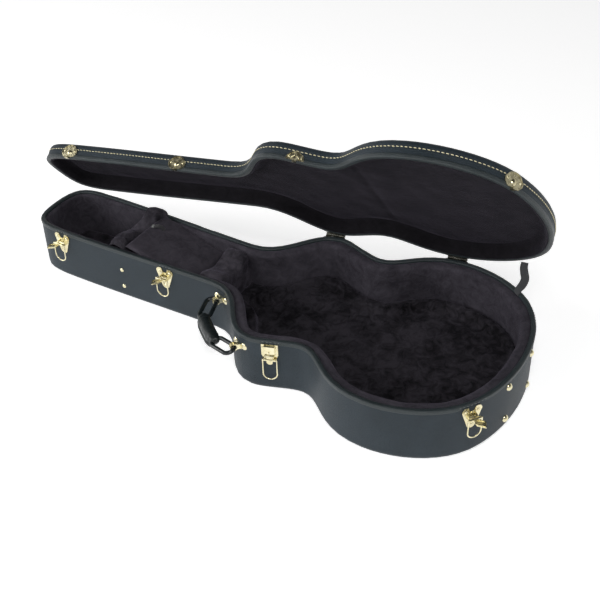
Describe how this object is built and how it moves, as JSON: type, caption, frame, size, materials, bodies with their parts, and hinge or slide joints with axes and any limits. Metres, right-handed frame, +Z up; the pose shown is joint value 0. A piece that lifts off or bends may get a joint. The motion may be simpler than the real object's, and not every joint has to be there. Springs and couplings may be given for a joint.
{
  "type": "guitar case",
  "caption": "Hard case with a shaped plywood shell, plush lining, a hinged lid, draw latches, a carrying handle and a lidded accessory box.",
  "frame": {"origin": "middle of the flat underside, on the centre line of the outline", "axes": "+X along the case to the butt end, -Y to the side with the handle and the latches, +Z up"},
  "size_m": [1.1131, 0.4906, 0.5139],
  "materials": {
    "shell_vinyl": "plywood shell covered in grained vinyl, satin",
    "binding": "smooth vinyl binding with stitching",
    "plush": "short pile plush over foam",
    "plush_board": "thin board covered in plush",
    "strap_tape": "woven tape",
    "pull_tab": "woven tab",
    "handle_leather": "black leather-look cover, satin",
    "black_wire": "black coated steel wire",
    "steel": "plain steel",
    "dark_hinge": "dark antique plated steel",
    "pale_brass": "pale brass plating, polished"
  },
  "bodies": {
    "base": {"base_wall": "shell_vinyl", "base_bottom": "shell_vinyl", "base_binding": "binding", "base_wall_lining": "plush", "body_floor_pad": "plush", "head_floor_pad": "plush", "box_floor_lining": "plush", "neck_partition": "plush_board", "neck_rest": "plush", "heel_partition": "plush_board", "heel_rest": "plush", "stay_strap": "strap_tape", "neck_rivets": "pale_brass", "end_feet": "pale_brass", "hinge_base_leaf_upper": "dark_hinge", "hinge_base_leaf_lower": "dark_hinge", "hinge_pin_upper": "dark_hinge", "hinge_pin_lower": "dark_hinge", "latch_plate_1": "pale_brass", "latch_plate_2": "pale_brass", "latch_plate_3": "pale_brass", "latch_plate_4": "pale_brass", "latch_axles": "pale_brass", "latch_rivets": "pale_brass", "lock_cover": "pale_brass", "handle_mounts": "pale_brass", "handle_rivets": "pale_brass", "box_lid_hinge": "plush"},
    "lever_1": {"latch_lever_1": "pale_brass"},
    "bail_1": {"latch_bail_1": "pale_brass"},
    "lever_2": {"latch_lever_2": "pale_brass"},
    "bail_2": {"latch_bail_2": "pale_brass"},
    "lever_3": {"latch_lever_3": "pale_brass"},
    "bail_3": {"latch_bail_3": "pale_brass"},
    "lever_4": {"latch_lever_4": "pale_brass"},
    "bail_4": {"latch_bail_4": "pale_brass"},
    "lid": {"lid_wall": "shell_vinyl", "lid_top": "shell_vinyl", "lid_binding": "binding", "lid_wall_lining": "plush", "lid_top_lining": "plush", "hinge_lid_leaf_upper": "dark_hinge", "hinge_lid_leaf_lower": "dark_hinge", "lid_catch_1": "pale_brass", "lid_catch_2": "pale_brass", "lid_catch_3": "pale_brass", "lid_catch_4": "pale_brass", "catch_rivets": "pale_brass"},
    "lock": {"lock_plug": "pale_brass"},
    "handle": {"handle_grip": "handle_leather", "handle_core": "steel", "handle_link_head": "black_wire", "handle_link_body": "black_wire"},
    "box": {"box_lid": "plush", "box_lid_tab": "pull_tab"}
  },
  "joints": [
    {"name": "lid_hinge", "type": "hinge", "parent": "base", "child": "lid", "pos_m": [0.05894, 0.18684, 0.12], "axis": [-0.9837, -0.1799, 0], "range_deg": [-54, 36], "deforming": ["stay_strap"]},
    {"name": "latch_1_lever", "type": "hinge", "parent": "base", "child": "lever_1", "pos_m": [-0.46214, -0.08767, 0.092], "axis": [-0.9996, 0.0288, 0], "range_deg": [-105, 0]},
    {"name": "latch_1_bail", "type": "hinge", "parent": "lever_1", "child": "bail_1", "pos_m": [-0.4624, -0.09635, 0.09433], "axis": [-0.9996, 0.0288, 0], "range_deg": [0, 285]},
    {"name": "latch_2_lever", "type": "hinge", "parent": "base", "child": "lever_2", "pos_m": [-0.19285, -0.0826, 0.092], "axis": [-0.9996, -0.0293, 0], "range_deg": [-105, 0]},
    {"name": "latch_2_bail", "type": "hinge", "parent": "lever_2", "child": "bail_2", "pos_m": [-0.1926, -0.09129, 0.09433], "axis": [-0.9996, -0.0293, 0], "range_deg": [0, 285]},
    {"name": "latch_3_lever", "type": "hinge", "parent": "base", "child": "lever_3", "pos_m": [0.12274, -0.1795, 0.087], "axis": [-0.9372, -0.3488, 0], "range_deg": [0, 95]},
    {"name": "latch_3_bail", "type": "hinge", "parent": "lever_3", "child": "bail_3", "pos_m": [0.12274, -0.1795, 0.078], "axis": [0.9372, 0.3488, 0], "range_deg": [-180, 0]},
    {"name": "latch_4_lever", "type": "hinge", "parent": "base", "child": "lever_4", "pos_m": [0.5181, -0.14773, 0.092], "axis": [-0.5725, -0.8199, 0], "range_deg": [-105, 0]},
    {"name": "latch_4_bail", "type": "hinge", "parent": "lever_4", "child": "bail_4", "pos_m": [0.52523, -0.1527, 0.09433], "axis": [-0.5725, -0.8199, 0], "range_deg": [0, 285]},
    {"name": "lock_key", "type": "hinge", "parent": "base", "child": "lock", "pos_m": [0.1224, -0.17856, 0.099], "axis": [0.3488, -0.9372, 0], "range_deg": [0, 90]},
    {"name": "handle_swing", "type": "hinge", "parent": "base", "child": "handle", "pos_m": [-0.00355, -0.1403, 0.09], "axis": [0.732, -0.6813, 0], "range_deg": [-60, 60]},
    {"name": "box_lid_hinge", "type": "hinge", "parent": "base", "child": "box", "pos_m": [-0.135, 0, 0.078], "axis": [0, 1, 0], "range_deg": [0, 75]}
  ],
  "couplings": [
    {"joint": "latch_1_bail", "follows": "latch_1_lever", "ratio": -2.714},
    {"joint": "latch_2_bail", "follows": "latch_2_lever", "ratio": -2.714},
    {"joint": "latch_4_bail", "follows": "latch_4_lever", "ratio": -2.714}
  ]
}
